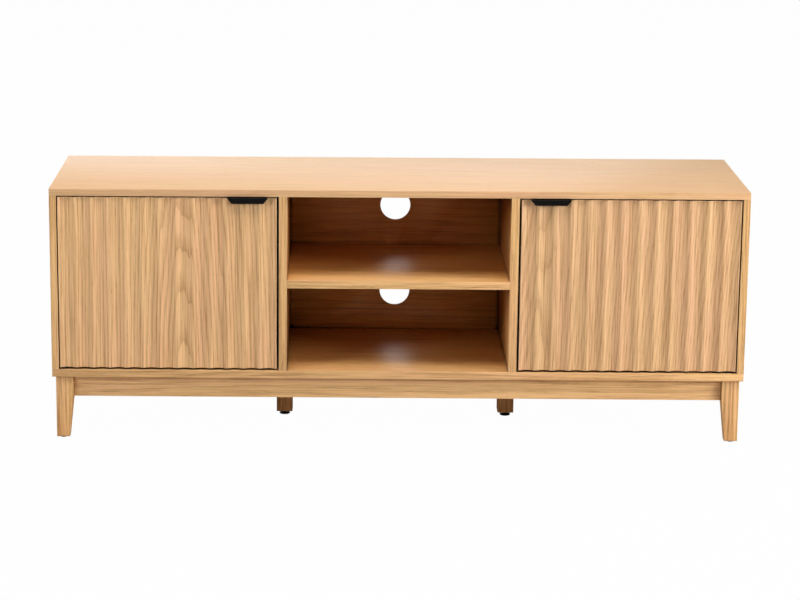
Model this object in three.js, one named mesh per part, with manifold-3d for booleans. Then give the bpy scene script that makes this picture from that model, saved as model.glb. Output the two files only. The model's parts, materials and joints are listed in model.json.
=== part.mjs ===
// A low media cabinet: an open two-bay niche between two cupboards with fluted doors, on a
// leg frame. Millimetres, +Z up, +Y to the back. The origin is on the floor, at the centre
// of the cabinet's overall width and depth.
import * as THREE from "three";
import { mergeVertices } from "three/addons/utils/BufferGeometryUtils.js";
import Module from "manifold-3d";

const wasm = await Module();
wasm.setup();

// Overall sizes
const width = 1600;
const depth = 400;
const baseHeight = 148; // floor to the underside of the bottom panel
const innerHeight = 411; // bottom panel to top panel
const nicheWidth = 513; // between the dividers

// Board thicknesses
const topBoard = 16;
const sideBoard = 16;
const bottomBoard = 18;
const dividerBoard = 18;
const shelfBoard = 18;
const looseShelfBoard = 16;
const backBoard = 3;

// Fits
const glueLine = 0.05; // between pieces that butt
const looseFit = 0.3; // around pieces held in grooves and holes
const runningFit = 0.08; // radial, between a pivot pin and its bush
const slidingFit = 0.6; // between a loose shelf and what stands beside it

// Back panels, in grooves
const backInset = 14.5; // rear edge of the carcass to the back panels
const grooveDepth = 4.5;
const cableHole = 73; // diameter

// Loose shelves, their pegs, and the dowels of the centre shelf
const looseShelfSetback = 46; // front edge behind the carcass front
const pegRadius = 2.5;
const pegLength = 8; // out of the wall, and into it
const pegCollar = 4.5; // radius
const pegCollarThickness = 1;
const pegMargin = 45; // from the loose shelf's front and rear edges
const dowelRadius = 4;
const dowelLength = 22;
const dowelMargin = 60; // from the centre shelf's front and rear edges
const dowelInDivider = 11;

// Legs and rails
const legInset = 8; // cabinet end to the leg's outer face
const legSetback = 5; // carcass front or rear to the leg's outer face
const legWidth = 40;
const legDepth = 30;
const legFootWidth = 30.5;
const legFootDepth = 20;
const railHeight = 50;
const railBoard = 18;
const railRecess = 10; // behind the leg's outer face
const glideRadius = 8;
const glideHeight = 2;
const middleLegWidth = 38;
const middleLegDepth = 38;
const middleLegY = 210; // centre, behind the carcass front
const middleLegClear = 10; // floor to the block
const footRadius = 12.5;
const footPad = 3;
const footCone = 2;
const footConeRadius = 7;
const stemRadius = 4;
const stemLength = 38; // above the cone
const stemBoreDepth = 42; // into the block

// Doors
const doorThickness = 18;
const doorRecess = 2; // ridges behind the carcass front
const hingeGap = 2.5;
const latchGap = 5;
const doorTopGap = 3;
const doorBottomGap = 4;
const doorEdgeRadius = 2;
const flutePitch = 38.6; // nearest whole number of flutes is used
const fluteLand = 6;
const fluteDepth = 5;
const sweepClear = 0.75; // between the swinging edge and the side panel

// Pivot hinges
const pinRadius = 3;
const pinInDoor = 20;
const pinInPanel = 6;
const bushWall = 2;
const bushFlange = 1;
const bushFlangeWidth = 2;
const bushDepth = 8; // into the panel
const pinCollarRadius = 5;

// Handles: a folded strip over the door's top edge
const handleSheet = 1.2;
const handleTopWidth = 92;
const handleBottomWidth = 71.5;
const handleHeight = 13.8;
const handleReach = 8.3; // lip's back face in front of the ridges
const handleBackLeg = 12;
const handleFromLatch = 66.5; // latch edge to the handle's centre

// Magnetic catches
const catchWidth = 46;
const catchDepth = 15;
const catchHeight = 12;
const catchGap = 0.5; // magnet to strike plate
const catchFromLatch = 150;
const poleWidth = 30;
const poleHeight = 2;
const polePitch = 6;
const poleProud = 0.8;
const strikeWidth = 40;
const strikeHeight = 13;
const strikeSheet = 1;

// Facets of round pieces
const roundSegments = 24;
const smallSegments = 12; // pegs, dowels and glides
const holeSegments = 48;
const arcSegments = 4; // half the facets of a flute

const overshoot = 1; // a cutter runs this far past the face that it opens

// Planes that follow, measured from the carcass front (y = 0) and the floor (z = 0)
const floorZ = baseHeight + bottomBoard;
const ceilingZ = floorZ + innerHeight;
const topZ = ceilingZ + topBoard;
const sideInner = width / 2 - sideBoard;
const dividerInner = nicheWidth / 2;
const dividerOuter = dividerInner + dividerBoard;
const dividerMiddle = dividerInner + dividerBoard / 2;
const backFront = depth - backInset - backBoard;
const backRear = depth - backInset;
const middleZ = (floorZ + ceilingZ) / 2;
const legOuter = width / 2 - legInset;
const railBottom = baseHeight - railHeight;

const doorBottom = floorZ + doorBottomGap;
const doorTop = ceilingZ - doorTopGap;
const doorHeight = doorTop - doorBottom;
const doorWidth = sideInner - hingeGap - dividerOuter - latchGap;
// The rounded edge corner must pass the side panel as the door swings about its pivot.
const cornerHalf = doorThickness / 2 - doorEdgeRadius;
const cornerSlack = hingeGap - sweepClear;
const pivotInset = doorEdgeRadius + (cornerHalf ** 2 - cornerSlack ** 2) / (2 * cornerSlack);
const pivotX = sideInner - hingeGap - pivotInset;
const pivotY = doorRecess + doorThickness / 2;

const lipProud = handleReach + handleSheet - doorRecess; // lip in front of the carcass
const carcassFront = (lipProud - depth) / 2;

// Materials
const finish = (color, roughness, metalness) => () =>
  new THREE.MeshStandardMaterial({ color, roughness, metalness });
const oak = finish(0xd9a970, 0.45, 0);
const oakTop = finish(0xe8c396, 0.45, 0);
const oakDoor = finish(0xd6a774, 0.5, 0);
const oakBack = finish(0x9a6a3c, 0.5, 0);
const oakSolid = finish(0xcd9b64, 0.5, 0);
const beech = finish(0xe2c193, 0.7, 0);
const blackMetal = finish(0x1d1c1b, 0.4, 0.8);
const steel = finish(0xa9abad, 0.3, 1);
const blackPlastic = finish(0x17171a, 0.6, 0);
const whitePlastic = finish(0xd9d7d0, 0.5, 0);

// Cutting and joining closed shapes
function toSolid(geometry) {
  const bare = geometry.clone();
  bare.deleteAttribute("normal");
  bare.deleteAttribute("uv");
  const merged = mergeVertices(bare);
  return new wasm.Manifold(new wasm.Mesh({
    numProp: 3,
    vertProperties: new Float32Array(merged.attributes.position.array),
    triVerts: new Uint32Array(merged.index.array),
  }));
}

function toGeometry(solid) {
  const mesh = solid.getMesh();
  const geometry = new THREE.BufferGeometry();
  const points = new Float32Array(mesh.vertProperties);
  geometry.setAttribute("position", new THREE.BufferAttribute(points, 3));
  geometry.setIndex(new THREE.BufferAttribute(new Uint32Array(mesh.triVerts), 1));
  geometry.computeVertexNormals();
  return geometry;
}

function subtract(geometry, cutters) {
  const cut = cutters.reduce((solid, cutter) => solid.subtract(toSolid(cutter)), toSolid(geometry));
  return toGeometry(cut);
}

function intersect(first, second) {
  return toGeometry(toSolid(first).intersect(toSolid(second)));
}

function join(geometries) {
  const [first, ...rest] = geometries.map(toSolid);
  return toGeometry(rest.reduce((solid, piece) => solid.add(piece), first));
}

// Shapes placed in the frame that they are used in
function block([x0, x1], [y0, y1], [z0, z1]) {
  const geometry = new THREE.BoxGeometry(x1 - x0, y1 - y0, z1 - z0);
  return geometry.translate((x0 + x1) / 2, (y0 + y1) / 2, (z0 + z1) / 2);
}

function rodAlongX([x0, x1], y, z, radius, segments = roundSegments) {
  const geometry = new THREE.CylinderGeometry(radius, radius, x1 - x0, segments);
  return geometry.rotateZ(Math.PI / 2).translate((x0 + x1) / 2, y, z);
}

function rodAlongY(x, [y0, y1], z, radius, segments = roundSegments) {
  const geometry = new THREE.CylinderGeometry(radius, radius, y1 - y0, segments);
  return geometry.translate(x, (y0 + y1) / 2, z);
}

function rodAlongZ(x, y, [z0, z1], radius, segments = roundSegments) {
  const geometry = new THREE.CylinderGeometry(radius, radius, z1 - z0, segments);
  return geometry.rotateX(Math.PI / 2).translate(x, y, (z0 + z1) / 2);
}

function lathe(profile, segments = roundSegments) {
  const points = profile.map(([radius, height]) => new THREE.Vector2(radius, height));
  return new THREE.LatheGeometry(points, segments).rotateX(Math.PI / 2);
}

function outline(points) {
  return new THREE.Shape(points.map(([u, v]) => new THREE.Vector2(u, v)));
}

// An outline in x and z, carried along y
function extrudeAlongY(shape, [y0, y1]) {
  const geometry = new THREE.ExtrudeGeometry(shape, { depth: y1 - y0, bevelEnabled: false });
  return geometry.rotateX(Math.PI / 2).translate(0, y1, 0);
}

// An outline in y and z, carried along x
function extrudeAlongX(shape, [x0, x1]) {
  const geometry = new THREE.ExtrudeGeometry(shape, { depth: x1 - x0, bevelEnabled: false });
  const turn = new THREE.Matrix4().makeBasis(
    new THREE.Vector3(0, 1, 0),
    new THREE.Vector3(0, 0, 1),
    new THREE.Vector3(1, 0, 0),
  );
  return geometry.applyMatrix4(turn).translate(x0, 0, 0);
}

function addMesh(group, name, geometry, material, [x, y, z] = [0, 0, 0]) {
  const mesh = new THREE.Mesh(geometry, material());
  mesh.name = name;
  mesh.position.set(x, y, z);
  group.add(mesh);
  return mesh;
}

// A board is centred on its own origin. Its cuts are given in the group's frame.
function addBoard(group, name, spans, material, cuts = []) {
  const centre = spans.map(([low, high]) => (low + high) / 2);
  const [sizeX, sizeY, sizeZ] = spans.map(([low, high]) => high - low);
  const plain = new THREE.BoxGeometry(sizeX, sizeY, sizeZ);
  const placed = cuts.map((cut) => cut.clone().translate(-centre[0], -centre[1], -centre[2]));
  const geometry = placed.length > 0 ? subtract(plain, placed) : plain;
  return addMesh(group, name, geometry, material, centre);
}

const sides = [["left", -1], ["right", 1]];
const sorted = (a, b) => [Math.min(a, b), Math.max(a, b)];

const bays = [
  { name: "left", x: [-sideInner, -dividerOuter] },
  { name: "centre", x: [-dividerInner, dividerInner] },
  { name: "right", x: [dividerOuter, sideInner] },
];

const looseShelfTop = middleZ + looseShelfBoard / 2;
const pegZ = looseShelfTop - looseShelfBoard - glueLine - pegRadius;
const looseShelfY = [looseShelfSetback, backFront - slidingFit];
const pegYs = [looseShelfY[0] + pegMargin, looseShelfY[1] - pegMargin];
const centreShelfY = [0, backFront - looseFit];
const dowelYs = [centreShelfY[0] + dowelMargin, centreShelfY[1] - dowelMargin];

function backGroove({ x }) {
  return block(
    [x[0] - grooveDepth, x[1] + grooveDepth],
    [backFront - looseFit, backRear + looseFit],
    [floorZ - grooveDepth, ceilingZ + grooveDepth],
  );
}

function bushBores(panelSpan) {
  return sides.map(([, side]) =>
    rodAlongZ(side * pivotX, pivotY, panelSpan, pinRadius + bushWall + looseFit));
}

// Bores for the shelf pegs, in the wall on one side of a cupboard
function pegBores(wallX, outward) {
  const reach = wallX + outward * (pegLength + looseFit);
  const start = wallX - outward * overshoot;
  return pegYs.map((y) =>
    rodAlongX(sorted(start, reach), y, pegZ, pegRadius + looseFit, smallSegments));
}

function dowelBores(x, side) {
  const span = sorted(x - side * overshoot, x + side * (dowelInDivider + looseFit));
  return dowelYs.map((y) =>
    rodAlongX(span, y, middleZ, dowelRadius + looseFit, smallSegments));
}

function addCarcass(carcass) {
  const grooves = bays.map(backGroove);
  addBoard(carcass, "top_panel",
    [[-width / 2, width / 2], [0, depth], [ceilingZ, topZ]], oakTop,
    [...grooves, ...bushBores([ceilingZ - overshoot, ceilingZ + bushDepth + looseFit])]);
  addBoard(carcass, "bottom_panel",
    [[-width / 2, width / 2], [0, depth], [baseHeight, floorZ]], oak,
    [...grooves, ...bushBores([floorZ - bushDepth - looseFit, floorZ + overshoot])]);

  const upright = [floorZ + glueLine, ceilingZ - glueLine];
  for (const [name, side] of sides) {
    addBoard(carcass, `${name}_side_panel`,
      [sorted(side * sideInner, side * width / 2), [0, depth], upright], oak,
      [...grooves, ...pegBores(side * sideInner, side)]);
    addBoard(carcass, `${name}_divider`,
      [sorted(side * dividerInner, side * dividerOuter), [0, depth], upright], oak,
      [...grooves, ...pegBores(side * dividerOuter, -side), ...dowelBores(side * dividerInner, side)]);
  }
}

function addBackPanels(carcass) {
  const tongue = grooveDepth - looseFit;
  const cableHoles = [
    (floorZ + middleZ - shelfBoard / 2) / 2,
    (ceilingZ + middleZ + shelfBoard / 2) / 2,
  ].map((z) => rodAlongY(0, [backFront - overshoot, backRear + overshoot], z, cableHole / 2, holeSegments));
  for (const { name, x } of bays) {
    addBoard(carcass, `${name}_back_panel`,
      [[x[0] - tongue, x[1] + tongue], [backFront, backRear],
        [floorZ - tongue, ceilingZ + tongue]],
      oakBack, name === "centre" ? cableHoles : []);
  }
}

function addShelves(carcass) {
  const half = dividerInner - glueLine;
  const inShelf = dowelLength - dowelInDivider + looseFit;
  const shelfBores = sides.flatMap(([, side]) => dowelYs.map((y) =>
    rodAlongX(sorted(side * (half - inShelf), side * (half + overshoot)), y, middleZ,
      dowelRadius + looseFit, smallSegments)));
  addBoard(carcass, "centre_shelf",
    [[-half, half], centreShelfY, [middleZ - shelfBoard / 2, middleZ + shelfBoard / 2]],
    oak, shelfBores);

  for (const [name, side] of sides) {
    const endGap = pegCollarThickness + slidingFit;
    const [inner, outer] = [dividerOuter + endGap, sideInner - endGap];
    addBoard(carcass, `${name}_cupboard_shelf`,
      [sorted(side * inner, side * outer), looseShelfY,
        [looseShelfTop - looseShelfBoard, looseShelfTop]], oak);

    dowelYs.forEach((y, index) => {
      const span = sorted(side * (dividerInner + dowelInDivider),
        side * (dividerInner + dowelInDivider - dowelLength));
      const dowel = rodAlongX([-dowelLength / 2, dowelLength / 2], 0, 0, dowelRadius,
        smallSegments);
      addMesh(carcass, `${name}_shelf_dowel_${index + 1}`, dowel, beech,
        [(span[0] + span[1]) / 2, y, middleZ]);
    });
  }
}

// A peg lies along x with its collar against the wall, and points the way it stands out.
function pegGeometry() {
  return lathe([
    [0, -pegLength],
    [pegRadius, -pegLength],
    [pegRadius, glueLine],
    [pegCollar, glueLine],
    [pegCollar, pegCollarThickness],
    [pegRadius, pegCollarThickness],
    [pegRadius, pegLength],
    [0, pegLength],
  ], smallSegments);
}

function addPegs(carcass) {
  for (const [name, side] of sides) {
    const walls = [["outer", sideInner, -side], ["inner", dividerOuter, side]];
    for (const [wall, x, facing] of walls) {
      pegYs.forEach((y, index) => {
        const end = index === 0 ? "front" : "rear";
        const peg = addMesh(carcass, `${name}_shelf_peg_${wall}_${end}`, pegGeometry(), steel,
          [side * x, y, pegZ]);
        peg.rotation.y = facing * Math.PI / 2;
      });
    }
  }
}

// A corner leg stands with its outer corner on its own origin, and tapers on its inner faces.
function cornerLeg(side, end) {
  const bottom = glideHeight + glueLine;
  const top = baseHeight - glueLine;
  const taper = (full, foot, sign) => outline([
    [0, bottom],
    [sign * foot, bottom],
    [sign * full, railBottom],
    [sign * full, top],
    [0, top],
  ]);
  return intersect(
    extrudeAlongY(taper(legWidth, legFootWidth, -side), sorted(0, -end * legDepth)),
    extrudeAlongX(taper(legDepth, legFootDepth, -end), sorted(0, -side * legWidth)),
  );
}

function addBase(carcass) {
  const railSpan = [railBottom, baseHeight - glueLine];
  const ends = [["front", -1, legSetback], ["rear", 1, depth - legSetback]];
  for (const [endName, end, y] of ends) {
    for (const [name, side] of sides) {
      const x = side * legOuter;
      addMesh(carcass, `${endName}_${name}_leg`, cornerLeg(side, end), oakSolid, [x, y, 0]);
      const glide = rodAlongZ(0, 0, [0, glideHeight], glideRadius, smallSegments);
      addMesh(carcass, `${endName}_${name}_glide`, glide, blackPlastic,
        [x - side * legFootWidth / 2, y - end * legFootDepth / 2, 0]);
    }
    const reach = legOuter - legWidth - glueLine;
    const face = y - end * railRecess;
    addBoard(carcass, `${endName}_rail`,
      [[-reach, reach], sorted(face, face - end * railBoard), railSpan], oakSolid);
  }
  for (const [name, side] of sides) {
    const face = side * (legOuter - railRecess);
    const from = legSetback + legDepth + glueLine;
    addBoard(carcass, `${name}_rail`,
      [sorted(face, face - side * railBoard), [from, depth - from], railSpan], oakSolid);
  }
}

// The stem runs in a bore, with the pad on the floor.
function levellingFoot() {
  const coneTop = footPad + footCone;
  return lathe([
    [0, 0],
    [footRadius, 0],
    [footRadius, footPad],
    [footConeRadius, coneTop],
    [stemRadius, coneTop],
    [stemRadius, coneTop + stemLength],
    [0, coneTop + stemLength],
  ]);
}

function addMiddleLegs(carcass) {
  for (const [name, side] of sides) {
    const x = side * dividerMiddle;
    const bore = rodAlongZ(x, middleLegY, [middleLegClear - overshoot, middleLegClear + stemBoreDepth],
      stemRadius + looseFit);
    addBoard(carcass, `${name}_middle_leg`,
      [[x - middleLegWidth / 2, x + middleLegWidth / 2],
        [middleLegY - middleLegDepth / 2, middleLegY + middleLegDepth / 2],
        [middleLegClear, baseHeight - glueLine]],
      oakSolid, [bore]);
    addMesh(carcass, `${name}_levelling_foot`, levellingFoot(), blackPlastic,
      [x, middleLegY, 0]);
  }
}

// Door outline seen from above: ridges on the line v = 0, back on v = doorThickness.
function doorOutline() {
  const flutes = Math.max(1, Math.round(doorWidth / flutePitch));
  const pitch = doorWidth / flutes;
  const chord = pitch - fluteLand;
  const radius = (chord ** 2 / 4 + fluteDepth ** 2) / (2 * fluteDepth);
  const half = Math.asin(chord / 2 / radius);
  const round = doorEdgeRadius;

  const shape = new THREE.Shape();
  shape.moveTo(0, doorThickness);
  shape.lineTo(0, round);
  shape.absarc(round, round, round, Math.PI, 1.5 * Math.PI, false);
  for (let flute = 0; flute < flutes; flute += 1) {
    const middle = (flute + 0.5) * pitch;
    shape.lineTo(middle - chord / 2, 0);
    shape.absarc(middle, fluteDepth - radius, radius, Math.PI / 2 + half, Math.PI / 2 - half, true);
  }
  shape.lineTo(doorWidth - round, 0);
  shape.absarc(doorWidth - round, round, round, 1.5 * Math.PI, 2 * Math.PI, false);
  shape.lineTo(doorWidth, doorThickness);
  return shape;
}

// In the door's group the pivot axis is x = 0, y = 0, and z is the height above the floor.
function addDoorPanel(door, name, side) {
  const geometry = new THREE.ExtrudeGeometry(doorOutline(),
    { depth: doorHeight, bevelEnabled: false, curveSegments: arcSegments });
  const left = Math.min(side * pivotInset, side * (pivotInset - doorWidth));
  geometry.translate(left, -doorThickness / 2, doorBottom);
  const bores = [
    [doorTop - pinInDoor - looseFit, doorTop + overshoot],
    [doorBottom - overshoot, doorBottom + pinInDoor + looseFit],
  ].map((span) => rodAlongZ(0, 0, span, pinRadius + looseFit));
  addMesh(door, `${name}_door`, subtract(geometry, bores), oakDoor);
}

function addPivotPins(door, name) {
  const topPin = rodAlongZ(0, 0, [doorTop - pinInDoor, ceilingZ + pinInPanel], pinRadius);
  addMesh(door, `${name}_door_top_pin`, topPin, blackMetal);

  // The lower pin's collar carries the door on the bush's flange.
  const bottomPin = lathe([
    [0, floorZ - pinInPanel],
    [pinRadius, floorZ - pinInPanel],
    [pinRadius, floorZ + bushFlange + looseFit],
    [pinCollarRadius, floorZ + bushFlange + looseFit],
    [pinCollarRadius, doorBottom - glueLine],
    [pinRadius, doorBottom - glueLine],
    [pinRadius, doorBottom + pinInDoor],
    [0, doorBottom + pinInDoor],
  ]);
  addMesh(door, `${name}_door_bottom_pin`, bottomPin, blackMetal);
}

// The strip is a hook over the door's top edge, cut to a trapezium.
function handleGeometry() {
  const back = doorThickness / 2 + glueLine;
  const lip = -doorThickness / 2 - handleReach;
  const under = doorTop + glueLine;
  const over = under + handleSheet;
  const lipBottom = over - handleHeight;
  const section = outline([
    [lip - handleSheet, over],
    [lip - handleSheet, lipBottom],
    [lip, lipBottom],
    [lip, under],
    [back, under],
    [back, under - handleBackLeg],
    [back + handleSheet, under - handleBackLeg],
    [back + handleSheet, over],
  ]);
  const trapezium = outline([
    [-handleTopWidth / 2, over + overshoot],
    [-handleTopWidth / 2, under],
    [-handleBottomWidth / 2, lipBottom - overshoot],
    [handleBottomWidth / 2, lipBottom - overshoot],
    [handleTopWidth / 2, under],
    [handleTopWidth / 2, over + overshoot],
  ]);
  return intersect(
    extrudeAlongX(section, [-handleTopWidth / 2, handleTopWidth / 2]),
    extrudeAlongY(trapezium, [lip - handleSheet - overshoot, back + handleSheet + overshoot]),
  );
}

function addDoor(carcass, name, side) {
  const door = new THREE.Group();
  door.position.set(side * pivotX, pivotY, 0);
  carcass.add(door);
  addDoorPanel(door, name, side);
  addPivotPins(door, name);
  const latchEdge = pivotInset - doorWidth;
  addMesh(door, `${name}_door_handle`, handleGeometry(), blackMetal,
    [side * (latchEdge + handleFromLatch), 0, 0]);

  const strikeX = side * (latchEdge + catchFromLatch);
  const strikeBack = doorThickness / 2 + glueLine;
  addBoard(door, `${name}_strike_plate`,
    [[strikeX - strikeWidth / 2, strikeX + strikeWidth / 2],
      [strikeBack, strikeBack + strikeSheet],
      [doorTop - strikeHeight, doorTop - glueLine]], steel);
}

function bushGeometry() {
  const inner = pinRadius + runningFit;
  const outer = pinRadius + bushWall;
  const flange = outer + bushFlangeWidth;
  return lathe([
    [inner, -bushFlange],
    [flange, -bushFlange],
    [flange, -glueLine],
    [outer, -glueLine],
    [outer, bushDepth],
    [inner, bushDepth],
    [inner, -bushFlange],
  ]);
}

function addBushes(carcass, name, side) {
  addMesh(carcass, `${name}_top_bush`, bushGeometry(), blackPlastic,
    [side * pivotX, pivotY, ceilingZ]);
  const lower = addMesh(carcass, `${name}_bottom_bush`, bushGeometry(), blackPlastic,
    [side * pivotX, pivotY, floorZ]);
  lower.rotation.x = Math.PI;
}

// The catch hangs from the top panel, with two pole bars facing the strike plate.
function addCatch(carcass, name, side) {
  const x = side * (dividerOuter + latchGap + catchFromLatch);
  const strikeFace = doorRecess + doorThickness + glueLine + strikeSheet;
  const poleFace = strikeFace + catchGap;
  const front = poleFace + poleProud;
  const hang = glueLine + catchHeight;
  const body = block([-catchWidth / 2, catchWidth / 2], [0, catchDepth], [-hang, -glueLine]);
  const poles = [-1, 1].map((row) => {
    const z = row * polePitch / 2 - hang / 2;
    return block([-poleWidth / 2, poleWidth / 2], [-poleProud, overshoot],
      [z - poleHeight / 2, z + poleHeight / 2]);
  });
  addMesh(carcass, `${name}_magnetic_catch`, join([body, ...poles]), whitePlastic,
    [x, front, ceilingZ]);
}

const cabinet = new THREE.Group();
cabinet.position.set(0, carcassFront, 0);
addCarcass(cabinet);
addBackPanels(cabinet);
addShelves(cabinet);
addPegs(cabinet);
addBase(cabinet);
addMiddleLegs(cabinet);
for (const [name, side] of sides) {
  addDoor(cabinet, name, side);
  addBushes(cabinet, name, side);
  addCatch(cabinet, name, side);
}

const model = new THREE.Group();
model.add(cabinet);

export default model;
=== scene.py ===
import json
import math

import bmesh
import bpy
from mathutils import Matrix, Vector


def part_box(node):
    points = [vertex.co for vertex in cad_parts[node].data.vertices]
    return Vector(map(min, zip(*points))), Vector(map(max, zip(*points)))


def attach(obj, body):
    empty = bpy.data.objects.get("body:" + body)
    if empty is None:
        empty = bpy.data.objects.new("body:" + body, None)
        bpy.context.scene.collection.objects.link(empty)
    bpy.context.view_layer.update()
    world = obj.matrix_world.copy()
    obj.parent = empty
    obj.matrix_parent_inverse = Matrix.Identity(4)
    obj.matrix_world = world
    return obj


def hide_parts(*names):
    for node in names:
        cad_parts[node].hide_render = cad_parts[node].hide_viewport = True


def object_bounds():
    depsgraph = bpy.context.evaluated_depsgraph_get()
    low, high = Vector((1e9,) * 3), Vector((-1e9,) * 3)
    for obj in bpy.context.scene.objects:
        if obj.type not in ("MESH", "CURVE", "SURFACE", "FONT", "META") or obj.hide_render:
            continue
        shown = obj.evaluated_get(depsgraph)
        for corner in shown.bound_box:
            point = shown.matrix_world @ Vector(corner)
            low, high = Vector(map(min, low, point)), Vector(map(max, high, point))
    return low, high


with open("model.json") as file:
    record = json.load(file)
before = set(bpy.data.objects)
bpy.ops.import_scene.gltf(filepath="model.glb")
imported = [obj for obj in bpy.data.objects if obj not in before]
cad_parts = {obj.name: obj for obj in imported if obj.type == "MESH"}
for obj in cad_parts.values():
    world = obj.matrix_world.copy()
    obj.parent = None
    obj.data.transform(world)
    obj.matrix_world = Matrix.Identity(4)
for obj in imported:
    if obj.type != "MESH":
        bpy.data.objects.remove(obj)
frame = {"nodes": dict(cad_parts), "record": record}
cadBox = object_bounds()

# Low oak media cabinet. Metres, +Z up, +Y to the back.
mm = 0.001
sides = (("left", -1), ("right", 1))
bodyOf = {
    node: body
    for body, members in frame["record"]["behaviour"]["bodies"].items()
    for node in members
}


# node helpers

def addNode(tree, kind, inputs=None, **settings):
    made = tree.nodes.new(kind)
    for key, value in settings.items():
        setattr(made, key, value)
    for key, value in (inputs or {}).items():
        if isinstance(value, bpy.types.NodeSocket):
            tree.links.new(value, made.inputs[key])
        else:
            made.inputs[key].default_value = value
    return made


def calc(tree, operation, *values):
    made = addNode(tree, "ShaderNodeMath", dict(enumerate(values)), operation=operation)
    return made.outputs[0]


def splitVector(tree, vector):
    return addNode(tree, "ShaderNodeSeparateXYZ", {0: vector}).outputs


def joinVector(tree, x, y, z):
    return addNode(tree, "ShaderNodeCombineXYZ", {0: x, 1: y, 2: z}).outputs[0]


def blendColors(tree, factor, first, second):
    made = tree.nodes.new("ShaderNodeMix")
    made.data_type = "RGBA"
    for index, value in ((0, factor), (6, first), (7, second)):  # factor, A and B of a colour mix
        if isinstance(value, bpy.types.NodeSocket):
            tree.links.new(value, made.inputs[index])
        else:
            made.inputs[index].default_value = value
    return made.outputs[2]


def remap(tree, value, low, high, newLow=0.0, newHigh=1.0):
    made = addNode(tree, "ShaderNodeMapRange", {
        "Value": value, "From Min": low, "From Max": high,
        "To Min": newLow, "To Max": newHigh,
    })
    return made.outputs["Result"]


def noise(tree, vector, scales, detail=2.0, roughness=0.5):
    stretched = addNode(tree, "ShaderNodeVectorMath", {0: vector, 1: scales}, operation="MULTIPLY")
    made = addNode(tree, "ShaderNodeTexNoise", {
        "Vector": stretched.outputs[0], "Scale": 1.0, "Detail": detail, "Roughness": roughness,
    })
    return made.outputs["Fac"]


def newGroup(name, kind, inputs, outputs):
    group = bpy.data.node_groups.new(name, kind)
    for label, socketType, value in inputs:
        socket = group.interface.new_socket(label, in_out="INPUT", socket_type=socketType)
        if value is not None:
            socket.default_value = value
    for label, socketType in outputs:
        group.interface.new_socket(label, in_out="OUTPUT", socket_type=socketType)
    start = group.nodes.new("NodeGroupInput")
    end = group.nodes.new("NodeGroupOutput")
    return group, start.outputs, end.inputs


# shared effects

grainScales = {  # how many features to the metre: along the grain, then twice across it
    "swell": (1.1, 9.0, 9.0),
    "ripple": (2.5, 40.0, 40.0),
    "fibre": (9.0, 430.0, 430.0),
    "streak": (2.6, 300.0, 300.0),
    "band": (1.4, 52.0, 52.0),
    "cloud": (1.6, 6.0, 6.0),
    "pore": (48.0, 1250.0, 1250.0),
    "warmth": (2.2, 26.0, 26.0),
}
grainRanges = {  # the values between which a mark grows from nothing to its full depth
    "early": (0.5, 0.0),
    "late": (0.78, 1.0),
    "pore": (0.56, 0.68),
    "warmth": (0.42, 0.66),
}
grainWeights = {  # how far each one moves the tone
    "fibre": 1.3,
    "streak": 1.15,
    "band": 0.24,
    "cloud": 0.25,
    "late": 0.08,
    "pore": 0.34,
    "start": 0.82,  # where the tone lies between dark and light before they move it
    "ripple": 0.012,  # metres that the rings waver by
    "warmth": 0.75,
    "latePores": 0.25,  # pores outside the early band, of those in it
    "poreRoughness": 0.16,
    "cloudRoughness": 0.07,
}


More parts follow.
